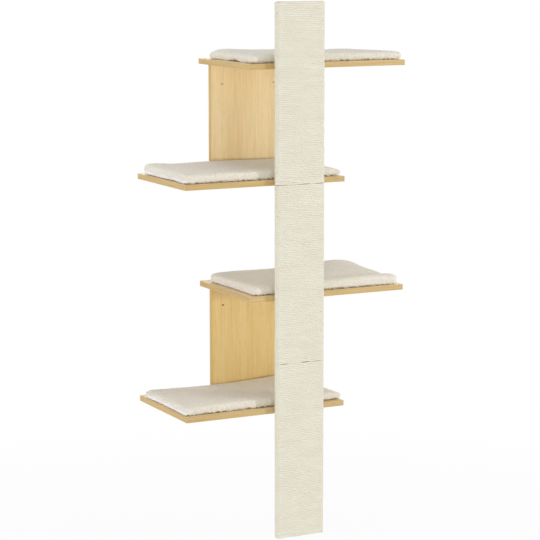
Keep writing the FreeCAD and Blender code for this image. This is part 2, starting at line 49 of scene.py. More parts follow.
class Wire:
    def __init__(self, tree, socket):
        self.tree = tree
        self.socket = socket

    def maths(self, operation, *others):
        made = addNode(self.tree, "ShaderNodeMath", {"operation": operation},
                       dict(enumerate((self,) + others)))
        return Wire(self.tree, made.outputs[0])

    def __add__(self, other): return self.maths("ADD", other)
    def __sub__(self, other): return self.maths("SUBTRACT", other)
    def __mul__(self, other): return self.maths("MULTIPLY", other)
    def __lt__(self, other): return self.maths("LESS_THAN", other)
    def __neg__(self): return self.maths("MULTIPLY", -1.0)
    __radd__ = __add__
    __rmul__ = __mul__

    def __rsub__(self, other):
        made = addNode(self.tree, "ShaderNodeMath", {"operation": "SUBTRACT"}, {0: other, 1: self})
        return Wire(self.tree, made.outputs[0])

    def ramp(self, low, high):                 # 0 below low, 1 above high, smooth between
        made = addNode(self.tree, "ShaderNodeMapRange", {"interpolation_type": "SMOOTHSTEP"},
                       {"Value": self, "From Min": low, "From Max": high})
        return Wire(self.tree, made.outputs[0])


def addNode(tree, kind, settings=None, values=None):
    made = tree.nodes.new(kind)
    for name, value in (settings or {}).items():
        setattr(made, name, value)
    for name, value in (values or {}).items():
        socket = made.inputs[name]
        if isinstance(value, Wire):
            tree.links.new(value.socket, socket)
        else:
            socket.default_value = value
    return made


class Finish:
    # a new material and the few things every finish here needs from its nodes
    def __init__(self, name):
        self.material = bpy.data.materials.new(name)
        self.material.use_nodes = True
        self.tree = self.material.node_tree
        self.shader = self.tree.nodes["Principled BSDF"]

    def node(self, kind, settings=None, values=None, output=0):
        return Wire(self.tree, addNode(self.tree, kind, settings, values).outputs[output])

    def place(self, scale=(1, 1, 1)):
        coordinates = self.node("ShaderNodeTexCoord", output="Object")
        return self.node("ShaderNodeVectorMath", {"operation": "MULTIPLY"},
                         {0: coordinates, 1: scale})

    def parts(self, vector):
        split = addNode(self.tree, "ShaderNodeSeparateXYZ", None, {0: vector})
        return [Wire(self.tree, output) for output in split.outputs]

    def noise(self, vector, scale=1.0, detail=3.0, rough=0.5):
        return self.node("ShaderNodeTexNoise", None,
                         {"Vector": vector, "Scale": scale, "Detail": detail, "Roughness": rough})

    def cells(self, vector, scale=1.0, feature="F1"):
        return self.node("ShaderNodeTexVoronoi", {"feature": feature},
                         {"Vector": vector, "Scale": scale})

    def blend(self, share, first, second):
        made = addNode(self.tree, "ShaderNodeMix", {"data_type": "RGBA"}, {"Factor": share})
        for number, value in ((6, first), (7, second)):
            if isinstance(value, Wire):
                self.tree.links.new(value.socket, made.inputs[number])
            else:
                made.inputs[number].default_value = (*value, 1.0)
        return Wire(self.tree, made.outputs[2])

    def attribute(self, name):
        return self.node("ShaderNodeAttribute", {"attribute_name": name}, output="Fac")

    def set(self, **values):
        for name, value in values.items():
            socket = self.shader.inputs[name.replace("_", " ")]
            if isinstance(value, Wire):
                self.tree.links.new(value.socket, socket)
            else:
                socket.default_value = value

    def bump(self, height, distance, strength=1.0):
        normal = self.node("ShaderNodeBump", None,
                           {"Height": height, "Distance": distance, "Strength": strength})
        self.tree.links.new(normal.socket, self.shader.inputs["Normal"])


def linear(red, green, blue):                  # a screen colour as the shader's linear one
    shares = np.array([red, green, blue]) / 255
    return tuple(float(v) for v in np.where(
        shares <= 0.04045, shares / 12.92, ((shares + 0.055) / 1.055) ** 2.4))


# ---- finishes ----

grain = {
    "bands": {"stretch": (26, 1.6), "detail": 4, "rough": 0.55, "ramp": (0.30, 0.72)},
    "lines": {"stretch": (420, 9), "detail": 3, "rough": 0.6, "ramp": (0.32, 0.70)},
    "pores": {"stretch": (900, 42), "detail": 2, "rough": 0.5, "ramp": (0.60, 0.74)},
    "shares": (0.55, 0.45),                    # of bands and lines in the figure
    "poreShare": 0.30,
    "poreColour": (150, 112, 62),
    "roughness": (0.42, 0.12),                 # plain, and what the lines add
    "shine": 0.35,
    "raised": 0.6,                             # height of the lines, where a pore is 1 deep
    "relief": (0.12 * mm, 0.5),                # depth and strength
}
woodLook = {
    # painted highlight: the walls of the upper panel's wall holes are pale, standing in for the
    # glint of a screw head in them
    "upperPanel": {"pale": (242, 221, 175), "dark": (224, 195, 142), "grain": "z",
                   "holes": (81 * mm, 314 * mm, 3.1 * mm), "holeGlint": (236, 232, 228)},
    "lowerPanel": {"pale": (238, 214, 154), "dark": (220, 186, 118), "grain": "z"},
    "shelf": {"pale": (236, 216, 174), "dark": (216, 188, 138), "grain": "x"},
    "edge": {"pale": (215, 188, 134), "dark": (195, 161, 100), "grain": "x",
             "ends": (146 * mm, 334 * mm), "endBand": 1 * mm},
    "edgeUpright": {"pale": (220, 191, 131), "dark": (201, 166, 101), "grain": "z"},
}


def makeWood(name, look):
    # The figure is broad bands plus fine lines, both noise stretched along the grain's axis, and
    # short dark pores lie over it. On a shelf's short ends the edging's grain runs along y.
    finish = Finish(name)
    along = {"x": (1, 0, 0), "z": (0, 0, 1)}[look["grain"]]

    def stretched(across, length):
        spot = finish.place([length if axis else across for axis in along])
        if "ends" not in look:
            return spot
        spanned = finish.parts(finish.place())[0].maths("ABSOLUTE")
        near, far = ((spanned - end).maths("ABSOLUTE") < look["endBand"] for end in look["ends"])
        turned = finish.place((across, length, across))
        return finish.node("ShaderNodeMix", {"data_type": "VECTOR"},
                           {0: near.maths("MAXIMUM", far), 4: spot, 5: turned}, output=1)

    bands, lines, pores = (
        finish.noise(stretched(*layer["stretch"]), 1, layer["detail"], layer["rough"])
        for layer in (grain["bands"], grain["lines"], grain["pores"]))
    holed = pores.ramp(*grain["pores"]["ramp"])
    figure = (bands.ramp(*grain["bands"]["ramp"]) * grain["shares"][0]
              + lines.ramp(*grain["lines"]["ramp"]) * grain["shares"][1])
    colour = finish.blend(figure, linear(*look["dark"]), linear(*look["pale"]))
    colour = finish.blend(holed * grain["poreShare"], colour, linear(*grain["poreColour"]))
    # painted highlight: where the look lists holes, their walls turn pale
    if "holes" in look:
        across, _, height = finish.parts(finish.place())
        holeX, holeZ, radius = look["holes"]
        away = finish.node("ShaderNodeCombineXYZ", None, {
            0: across.maths("ABSOLUTE") - holeX, 2: height.maths("ABSOLUTE") - holeZ})
        away = finish.node("ShaderNodeVectorMath", {"operation": "LENGTH"}, {0: away},
                           output="Value")
        colour = finish.blend(away < radius, colour, linear(*look["holeGlint"]))
    plain, added = grain["roughness"]
    finish.set(Base_Color=colour, Roughness=plain + lines * added,
               Specular_IOR_Level=grain["shine"])
    finish.bump(lines * grain["raised"] - holed, *grain["relief"])
    return finish.material


rawBoardLook = {
    "chips": 420.0,                            # to the metre
    "dark": (140, 110, 74),
    "pale": (188, 160, 118),
    "roughness": 0.85,
    "relief": (0.3 * mm, 0.6),
}


def makeRawBoard(name, look):
    # chips of many tones pressed together, set darker than bare board as painted shade in the
    # rope's joints
    finish = Finish(name)
    chips = finish.node("ShaderNodeTexVoronoi", {"feature": "F1"},
                        {"Vector": finish.place(), "Scale": look["chips"]}, output="Color")
    tone = finish.parts(chips)[0]
    finish.set(Base_Color=finish.blend(tone, linear(*look["dark"]), linear(*look["pale"])),
               Roughness=look["roughness"])
    finish.bump(tone, *look["relief"])
    return finish.material


steelLook = {
    "tone": (0.72, 0.72, 0.70),
    "cloudy": 0.82,                            # how dark the patches are
    "patches": (160, 3, 0.6),                  # noise: scale, detail and roughness
    "scratches": (2600, 140, 2600),
    "roughness": (0.30, 0.16),
    "relief": (0.04 * mm, 0.35),
}


def makeSteel(name, look):
    # zinc: cloudy patches and fine scratches
    finish = Finish(name)
    cloud = finish.noise(finish.place(), *look["patches"])
    scratch = finish.noise(finish.place(look["scratches"]), 1, 2, 0.5)
    plain, added = look["roughness"]
    dull = tuple(look["cloudy"] * v for v in look["tone"])
    finish.set(Base_Color=finish.blend(cloud, look["tone"], dull),
               Metallic=1.0, Roughness=plain + cloud * added)
    finish.bump(scratch, *look["relief"])
    return finish.material


beechLook = {
    "flecks": (900, 900, 120),
    "dark": (196, 156, 104),
    "pale": (224, 188, 138),
    "roughness": 0.6,
    "relief": (0.1 * mm, 0.5),
}


def makeBeech(name, look):
    # short flecks, longer along z
    finish = Finish(name)
    fleck = finish.noise(finish.place(look["flecks"]), 1, 3, 0.5)
    finish.set(Base_Color=finish.blend(fleck, linear(*look["dark"]), linear(*look["pale"])),
               Roughness=look["roughness"])
    finish.bump(fleck, *look["relief"])
    return finish.material


ropeLook = {
    "pale": (237, 234, 218),
    "warm": (234, 229, 211),
    # painted shade: this colour darkens the grooves between strands and the sides where turns
    # touch; the dark dashes take it too, partly as painted shadow in the gaps between turns and
    # partly as dark fibres
    "gap": (140, 130, 104),
    "fibre": (248, 246, 236),
    "slant": 3.0,                              # strands that one turn round the rope crosses
    "fibres": (300, 300, 900),
    "fibreRamp": (0.30, 0.75),
    "patches": (9, 9, 46),
    "patchRamp": (0.35, 0.68),
    "breaks": (120, 120, 340),
    "speck": (0.69, 0.74),                     # noise between these starts a dark dash, partly painted shadow in the gaps between turns and partly dark fibres
    "dashSide": (0.55, 0.95),                  # how near the touching sides dashes stay
    "edgeSide": (0.80, 1.0),
    "groove": (0.35, 1.0),
    "fibreShare": 0.16,
    "edgeShare": 0.08,
    "grooveShare": 0.20,
    "dashShare": 0.75,
    "roughness": 0.9,
    "shine": 0.2,
    "sheen": 0.25,
    "relief": (0.4 * mm, 0.6),
}


def makeRope(name, look):
    # uv: u counts strands along the rope, v goes once round it; strands are slanted stripes
    finish = Finish(name)
    along, around, _ = finish.parts(finish.node("ShaderNodeUVMap", {"uv_map": "lay"}))
    strand = ((along + around * look["slant"]) * (2 * math.pi)).maths("SINE")
    fibres = finish.noise(finish.place(look["fibres"]), 1, 3, 0.6)
    tone = finish.noise(finish.place(look["patches"]), 1, 4, 0.6)
    side = (around * (2 * math.pi)).maths("SINE").maths("ABSOLUTE")      # 1 where turns touch
    broken = finish.noise(finish.place(look["breaks"]), 1, 2, 0.5)
    # painted shade: the grooves between strands are darkened
    groove = (-strand).ramp(*look["groove"])
    dash = broken.ramp(*look["speck"]) * side.ramp(*look["dashSide"])
    gap = linear(*look["gap"])
    colour = finish.blend(tone.ramp(*look["patchRamp"]), linear(*look["warm"]),
                          linear(*look["pale"]))
    colour = finish.blend(fibres.ramp(*look["fibreRamp"]) * look["fibreShare"], colour,
                          linear(*look["fibre"]))
    # painted shade: the sides where neighbouring turns touch are darkened
    contactShade = side.ramp(*look["edgeSide"]) * look["edgeShare"]
    colour = finish.blend(contactShade + groove * look["grooveShare"], colour, gap)
    # dark dashes near where turns touch: partly painted shadow in the gaps between turns, partly
    # dark fibres
    colour = finish.blend(dash * look["dashShare"], colour, gap)
    finish.set(Base_Color=colour, Roughness=look["roughness"],
               Specular_IOR_Level=look["shine"], Sheen_Weight=look["sheen"])
    finish.bump(strand * 0.5 + fibres * 0.5, *look["relief"])
    return finish.material


plushLook = {
    "tips": (243, 240, 230),
    # painted shade between the curls; the broad random patches blend towards it as well
    "rootShade": (223, 214, 195),
    "backing": (240, 238, 244),
    "drift": 150.0,
    "driftReach": 6 * mm,
    "curls": 260,
    "curlRamp": (0.10, 0.75),
    "fine": (900, 3, 0.65),                    # noise: scale, detail and roughness
    "broad": (22, 3, 0.5),
    "broadRamp": (0.42, 0.72),
    "weave": (1500, 1500, 1500),
    "woolShare": 0.65,
    "fineShare": 0.35,
    "broadShare": 0.18,
    "roughness": 0.95,
    "shine": 0.1,
    "sheen": (0.35, 0.6),
    "relief": (1.2 * mm, 0.7),
    "weaveRelief": 0.08,
}


def makePlush(name, look):
    # curls: soft cells shifted by a drift, pale at their middles and darker between them, which is
    # painted shade in the creases, with fine noise over them; the backing is a smooth plain weave
    finish = Finish(name)
    spot = finish.place()
    drift = finish.node("ShaderNodeTexNoise", None, {"Vector": spot, "Scale": look["drift"]},
                        output="Color")
    bent = finish.node("ShaderNodeVectorMath", {"operation": "MULTIPLY_ADD"},
                       {0: drift, 1: 3 * (look["driftReach"],), 2: spot})
    curl = finish.cells(bent, look["curls"], "SMOOTH_F1")
    fine = finish.noise(spot, *look["fine"])
    broad = finish.noise(spot, *look["broad"])
    weave = finish.noise(finish.place(look["weave"]), 1, 1, 0.4)
    backing = finish.attribute("backing")
    wool = 1 - curl.ramp(*look["curlRamp"])
    rootShade = linear(*look["rootShade"])
    colour = finish.blend(wool * look["woolShare"] + fine * look["fineShare"], rootShade,
                          linear(*look["tips"]))
    colour = finish.blend(broad.ramp(*look["broadRamp"]) * look["broadShare"], colour, rootShade)
    colour = finish.blend(backing, colour, linear(*look["backing"]))
    sheen, sheenRoughness = look["sheen"]
    finish.set(Base_Color=colour, Roughness=look["roughness"], Specular_IOR_Level=look["shine"],
               Sheen_Weight=sheen, Sheen_Roughness=sheenRoughness)
    height = (wool + fine * 0.5) * (1 - backing) + weave * look["weaveRelief"] * backing
    finish.bump(height, *look["relief"])
    return finish.material


tapeLook = {
    "tufts": 700,                              # to the metre
    "shade": 0.6,                              # between the tufts
    "roughness": 0.8,
    "relief": (0.5 * mm, 0.8),
}


def makeTape(name, colour, look):
    # short bristles: small cells, paler at their middles
    finish = Finish(name)
    tuft = finish.cells(finish.place(), look["tufts"])
    tone = linear(*colour)
    finish.set(Base_Color=finish.blend(tuft, tone, tuple(look["shade"] * v for v in tone)),
               Roughness=look["roughness"])
    finish.bump(1 - tuft, *look["relief"])
    return finish.material


finishes = {
    "upperWood": makeWood("upper panel laminate", woodLook["upperPanel"]),
    "lowerWood": makeWood("lower panel laminate", woodLook["lowerPanel"]),
    "shelfWood": makeWood("shelf laminate", woodLook["shelf"]),
    "edgeWood": makeWood("shelf edging", woodLook["edge"]),
    "uprightWood": makeWood("panel edging", woodLook["edgeUpright"]),
    "rawBoard": makeRawBoard("particle board", rawBoardLook),
    "steel": makeSteel("zinc plate", steelLook),
    "beech": makeBeech("beech", beechLook),
    "rope": makeRope("pale rope", ropeLook),
    "plush": makePlush("sherpa fleece", plushLook),
    "hook": makeTape("hook tape", (232, 232, 230), tapeLook),
    "loop": makeTape("loop tape", (238, 238, 236), tapeLook),
}


def dress(node, finish):
    data = nodes[node].data
    data.materials.clear()
    data.materials.append(finishes[finish])


rows = ("top", "upper", "lower", "bottom")
sections = ("bottom", "middle", "top")
for row in rows:
    dress(f"{row}_shelf", "shelfWood")
    dress(f"{row}_shelf_edging", "edgeWood")
    dress(f"{row}_cushion", "plush")
    dress(f"{row}_hook_patches", "hook")
    dress(f"{row}_loop_patches", "loop")
for side in ("upper", "lower"):
    dress(f"{side}_wall_panel", f"{side}Wood")
    dress(f"{side}_panel_edging", "uprightWood")
for section in sections:
    dress(f"{section}_post_board", "rawBoard")
    dress(f"{section}_rope_cover", "rope")
    dress(f"{section}_rope_turns", "rope")
for name in ("shelf_brackets", "bracket_shelf_screws", "bracket_post_screws", "panel_screws"):
    dress(name, "steel")
for name in ("panel_dowels", "post_dowels"):
    dress(name, "beech")
print("finishes on the boards and fittings")


# ---- meshes from arrays ----

def addObject(name, data):
    made = bpy.data.objects.new(name, data)
    bpy.context.scene.collection.objects.link(made)
    return made


def addMesh(name, points, faces):
    mesh = bpy.data.meshes.new(name)
    mesh.from_pydata(points.tolist(), [], faces.tolist())
    return mesh


def shadeSmooth(mesh):
    mesh.polygons.foreach_set("use_smooth", np.full(len(mesh.polygons), True))


def makePiece(name, points, faces, finish):
    # a smooth piece of the frame, whose slot has the finish's name
    mesh = addMesh(name, points, faces)
    shadeSmooth(mesh)
    mesh.materials.append(finishes[finish])
    piece = addObject(name, mesh)
    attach(piece, "frame")
    return piece


def gridFaces(rowCount, columnCount):
    # quads between neighbours in a grid of rings; points are numbered ring by ring
    row, column = np.meshgrid(np.arange(rowCount - 1), np.arange(columnCount), indexing="ij")
    following = (column + 1) % columnCount
    corners = [row * columnCount + column, row * columnCount + following,
               (row + 1) * columnCount + following, (row + 1) * columnCount + column]
    return np.stack(corners, axis=-1).reshape(-1, 4)


def smoothStep(share):
    share = np.clip(share, 0, 1)
    return share * share * (3 - 2 * share)


def smoothNoise(places, seed, cell):
    # value noise in one dimension: random numbers on a line, joined by smooth steps
    randoms = np.random.default_rng(seed).uniform(-1, 1, int(places.max() / cell) + 3)
    spot = places / cell
    first = spot.astype(int)
    share = smoothStep(spot - first)
    return randoms[first] * (1 - share) + randoms[first + 1] * share


# ---- rope on the post ----

winding = {
    "radius": 2.4 * mm,
    "tall": 1.07,                              # turns press on each other, so each is this taller
    "pitch": 4.82 * mm,
    "squareness": 3.1,                         # of the pressed section; a circle has 2
    "seat": 0.05 * mm,
    "boardCorner": 3 * mm,
    "sides": 8,
    "frontSteps": 14,
    "sideSteps": 2,
    "cornerSteps": 5,
    "backSteps": 8,
    "wander": 0.08 * mm,                       # how far turns stray up and down
    "wanderCell": 110 * mm,
    "proud": 0.10 * mm,                        # and in and out
    "proudCell": 60 * mm,
    "strand": 6.5 * mm,                        # from one strand to the next, fitted to whole turns
    "endGap": 0.25 * mm,
    "sag": 1.3 * mm,                           # how far the last turns stray from the ends
    "sagCell": 21 * mm,
    "sagGain": 1.6,
    "sagFloor": 0.25,
    "sagReach": 9 * mm,
}


def turnPlan(look, low, high):
    # one turn seen from above: a rounded rectangle round the board, from its back left corner
    # against the clock, and the share of the pitch climbed at each point, all on the back
    bend = look["boardCorner"] + look["seat"] + look["radius"]
    reach = look["seat"] + look["radius"]
    left, right = low[0] - reach, high[0] + reach
    front, back = low[1] - reach, high[1] + reach
    corners = [(left + bend, back - bend, 90), (left + bend, front + bend, 180),
               (right - bend, front + bend, 270), (right - bend, back - bend, 0)]
    runs = (look["sideSteps"], look["frontSteps"], look["sideSteps"], look["backSteps"])
    plan = []
    climb = []
    for number, (x, y, start) in enumerate(corners):
        angle = np.radians(start + np.linspace(0, 90, look["cornerSteps"] + 1))
        arc = np.stack([x + bend * np.cos(angle), y + bend * np.sin(angle)], axis=1)
        plan.append(arc)
        climb.append(np.zeros(len(arc)))
        nextX, nextY, nextStart = corners[(number + 1) % 4]
        nextAngle = math.radians(nextStart)
        following = np.array([nextX + bend * math.cos(nextAngle),
                              nextY + bend * math.sin(nextAngle)])
        share = np.linspace(0, 1, runs[number] + 1)[1:-1]
        plan.append(arc[-1] + (following - arc[-1]) * share[:, None])
        climb.append(share if number == 3 else np.zeros(len(share)))
    centre = np.array([(left + right) / 2, (front + back) / 2])
    return np.concatenate(plan), np.concatenate(climb), centre


def windRope(section, seed):
    # The rope's middle line goes round the board turn on turn. Rings of points stand round it,
    # each a superellipse, and a cap closes either end.
    look = winding
    low, high = (np.array(corner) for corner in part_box(f"{section}_post_board"))
    radius = look["radius"]
    plan, climb, centre = turnPlan(look, low, high)
    height = high[2] - low[2] - 2 * look["endGap"] - 2 * radius
    turns = int(height / look["pitch"])
    pitch = height / turns
    loops = turns + 1
    keep = slice(0, loops * len(plan) - look["backSteps"] + 1)   # the last back run is left out
    line = np.tile(plan, (loops, 1))[keep]
    rise = (np.repeat(np.arange(loops), len(plan)) + np.tile(climb, loops)) * pitch
    rise = np.minimum(rise[keep], turns * pitch)
    travelled = np.concatenate([[0], np.cumsum(np.hypot(*np.diff(line, axis=0).T))])
    rise = rise + smoothNoise(travelled, seed, look["wanderCell"]) * look["wander"] * np.clip(
        np.minimum(rise, turns * pitch - rise) / pitch, 0, 1)
    loose = look["sagGain"] * smoothNoise(travelled, seed + 2, look["sagCell"]) - look["sagFloor"]
    slack = smoothStep(loose) * look["sag"]
    rise = (rise + slack * np.exp(-rise / look["sagReach"])
            - slack * np.exp((rise - turns * pitch) / look["sagReach"]))
    tangent = np.gradient(np.column_stack([line, rise]), axis=0)
    tangent /= np.linalg.norm(tangent, axis=1, keepdims=True)
    outward = np.column_stack([tangent[:, 1], -tangent[:, 0], np.zeros(len(line))])
    outward /= np.linalg.norm(outward, axis=1, keepdims=True)
    outward *= np.sign(np.sum(outward[:, :2] * (line - centre), axis=1))[:, None]
    upward = np.cross(outward, tangent)
    upward *= np.sign(upward[:, 2])[:, None]
    middle = np.column_stack([line, low[2] + look["endGap"] + radius + rise])
    middle += outward * (smoothNoise(travelled, seed + 1, look["proudCell"])
                         * look["proud"])[:, None]
    sides = look["sides"]
    angle = np.linspace(0, 2 * math.pi, sides, endpoint=False) + math.pi / sides
    power = look["squareness"]
    swell = (np.abs(np.cos(angle)) ** power + np.abs(np.sin(angle)) ** power) ** (-1 / power)
    ring = ((swell * np.cos(angle))[None, :, None] * outward[:, None, :]
            + (look["tall"] * swell * np.sin(angle))[None, :, None] * upward[:, None, :])
    points = (middle[:, None, :] + radius * ring).reshape(-1, 3)
    tube = gridFaces(len(middle), sides)
    cap = np.array([(0, 1, 6, 7), (1, 2, 5, 6), (2, 3, 4, 5)])   # closes a ring of eight
    faces = np.concatenate([tube, cap[:, ::-1], cap + len(points) - sides])[:, ::-1]
    piece = makePiece(f"{section}_rope", points, faces, "rope")
    column = np.arange(len(tube)) % sides
    v = np.stack([column, column + 1, column + 1, column], axis=1)
    v = np.concatenate([v, faces[len(tube):] % sides]) / sides
    once = travelled[len(plan)]
    lay = travelled * round(once / look["strand"]) / once
    uv = np.stack([lay[faces // sides], v], axis=-1)
    layer = piece.data.uv_layers.new(name="lay")
    layer.data.foreach_set("uv", uv.astype(np.float32).ravel())
    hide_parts(f"{section}_rope_cover", f"{section}_rope_turns")
    print(f"{section} section: {turns} turns, {travelled[-1]:.1f} m of rope,"
          f" {2 * len(faces)} triangles")


for number, section in enumerate(sections):
    windRope(section, 40 + 10 * number)


# ---- screws ----

screwLook = {
    "sides": 24,
    "thread": 1.6 * mm,
    "threadDepth": 0.35 * mm,
    "recess": 0.55,                            # reach of the cross, share of the head's radius
    "armHalf": 0.35 * mm,
    "recessDepth": 1.1 * mm,
    "dome": 0.45 * mm,
    "cone": 1.5,                               # length of the point, in radii of the shank
    "neck": 0.8,                               # radius under the head, share of the shank's
    "panWall": 0.6,                            # of a pan head's height is upright
    "flatCone": 0.8,                           # depth of a flat head, share of its radius
    "flatWall": 0.3 * mm,
    "flatInset": 0.1 * mm,
    "crown": (0.95, 0.06),                     # first and last ring on the head's top
    "crownRings": 16,
}


def screwSurface(radius, length, headRadius, headHigh, flatHead):
    # A turned profile along z, head up, z 0 under a pan head and on top of a flat one. The shank
    # ends in a cone, its thread is a row of saw teeth. Points of the head's top that lie in the
    # cross are pushed down.
    look = screwLook
    ribs = int((length - 2 * look["cone"] * radius) / look["thread"])
    step = np.arange(2 * ribs + 1)
    shankZ = -length + look["cone"] * radius + step * look["thread"] / 2
    shankR = radius - look["threadDepth"] * (step % 2)
    if flatHead:
        rim = headRadius - look["flatInset"]
        neckZ = [-headRadius * look["flatCone"], -look["flatWall"], 0]
        neckR = [radius * look["neck"], rim, rim]
        top, dome = 0, 0
    else:
        neckZ = [0, 0, headHigh * look["panWall"]]
        neckR = [radius * look["neck"], headRadius, headRadius]
        top, dome = headHigh, look["dome"]
    crown = np.linspace(*look["crown"], look["crownRings"])
    z = np.concatenate([[-length], shankZ, neckZ, top - dome * crown ** 2, [top]])
    r = np.concatenate([[0], shankR, neckR, headRadius * crown, [0]])
    angle = np.linspace(0, 2 * math.pi, look["sides"], endpoint=False)
    x, y = r[:, None] * np.cos(angle), r[:, None] * np.sin(angle)
    height = np.repeat(z[:, None], look["sides"], axis=1)
    inArm = np.minimum(np.abs(x), np.abs(y)) < look["armHalf"]
    inReach = np.hypot(x, y) < look["recess"] * headRadius
    onTop = (np.arange(len(z)) >= len(z) - look["crownRings"] - 1)[:, None]
    height = height - look["recessDepth"] * (inArm & inReach & onTop)
    return np.stack([x, y, height], axis=-1).reshape(-1, 3), gridFaces(len(z), look["sides"])


def placeCopies(points, faces, axes, spots):
    # the same piece at many spots; the axes are the rows of its turn
    turned = points @ np.array(axes, float)
    moved = (turned[None] + np.array(spots)[:, None]).reshape(-1, 3)
    shifted = faces[None] + (np.arange(len(spots)) * len(points))[:, None, None]
    return moved, shifted.reshape(-1, 4)


headUp = ((1, 0, 0), (0, 1, 0), (0, 0, 1))
headDown = ((1, 0, 0), (0, -1, 0), (0, 0, -1))
headBack = ((1, 0, 0), (0, 0, -1), (0, 1, 0))


def driveScrews(name, groups, size):
    surface, faces = screwSurface(*size)
    parts = [placeCopies(surface, faces, axes, spots) for axes, spots in groups]
    starts = np.cumsum([0] + [len(points) for points, _ in parts])
    points = np.concatenate([points for points, _ in parts])
    faces = np.concatenate([faces + start for (_, faces), start in zip(parts, starts)])
    piece = makePiece(f"{name}_turned", points, faces, "steel")
    merge = piece.modifiers.new("poles", "WELD")
    merge.merge_threshold = 0.001 * mm
    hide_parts(name)


# Screws stand at the near and far reach from the corner of a bracket of this gauge, at either
# side of the middle. Sizes are shank radius, length, head radius, head height, and flat or not.
fitting = {
    "spread": 40 * mm,
    "near": 15 * mm,
    "far": 31 * mm,
    "gauge": 1.5 * mm,
    "panelSpread": 88 * mm,
    "panelDepth": -7.5 * mm,
    "shelfScrew": (2 * mm, 12 * mm, 3.8 * mm, 2.2 * mm, False),
    "postScrew": (2 * mm, 18 * mm, 3.8 * mm, 2.2 * mm, False),
    "panelScrew": (3.5 * mm, 50 * mm, 5 * mm, 0, True),
}
shelfSpots = []
postSpots = []
upSpots = []
downSpots = []
for row in rows:
    shelfLow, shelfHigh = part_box(f"{row}_shelf")
    for side in (-1, 1):
        for reach in (fitting["near"], fitting["far"]):
            shelfSpots.append((side * fitting["spread"], shelfLow[1] + reach,
                               shelfLow[2] - fitting["gauge"]))
            postSpots.append((side * fitting["spread"], shelfLow[1] + fitting["gauge"],
                              shelfLow[2] - reach))
        across = side * fitting["panelSpread"]
        if row in ("top", "lower"):
            upSpots.append((across, fitting["panelDepth"], shelfHigh[2]))
        else:
            downSpots.append((across, fitting["panelDepth"], shelfLow[2]))
driveScrews("bracket_shelf_screws", [(headDown, shelfSpots)], fitting["shelfScrew"])
driveScrews("bracket_post_screws", [(headBack, postSpots)], fitting["postScrew"])
driveScrews("panel_screws", [(headUp, upSpots), (headDown, downSpots)], fitting["panelScrew"])
print("screws")


# ---- cushions ----

cushionLook = {
    "drawIn": 3 * mm,
    "edge": 7 * mm,                            # reach of the rounded edge of the section
    "squareness": 4.0,                         # of that edge; a half circle has 2
    "droop": 1.9 * mm,                         # the rim hangs this far below the patches' tops
    "droopReach": 24 * mm,
    "crown": 1.5 * mm,
    "crownReach": 60 * mm,
    "cornerPoints": 11,
    "endPoints": 24,                           # along a short side
    "longExtra": 12,                           # more of them along a long one
    "edgeRings": 13,
    "faceRings": 14,
    "seamGap": 0.2 * mm,
    "voxel": 4 * mm,
    "pressure": 4.0,
    "clothQuality": 4,
    "frames": 20,
    "cap": 3 * mm,
    "shelfGap": 0.3 * mm,
    "wave": (1.5 * mm, 14 * mm),               # height and length of the backing's border
    "underside": (0.5, 0.3),                   # how far a face looks down, and the blend's span
    "endFace": (0.35, 0.3),
    "frontFace": (-0.1, 0.4),
    "curl": 6.5 * mm,
    "curlDepth": 0.8 * mm,
    "curlGain": 1.6,
    "tuft": 9 * mm,                            # ragged wool along the lower front edge
    "tuftGain": (2.6, 0.9),
    "tuftLift": 4.5 * mm,
    "tuftTop": 4 * mm,
    "fill": 0.5,
}

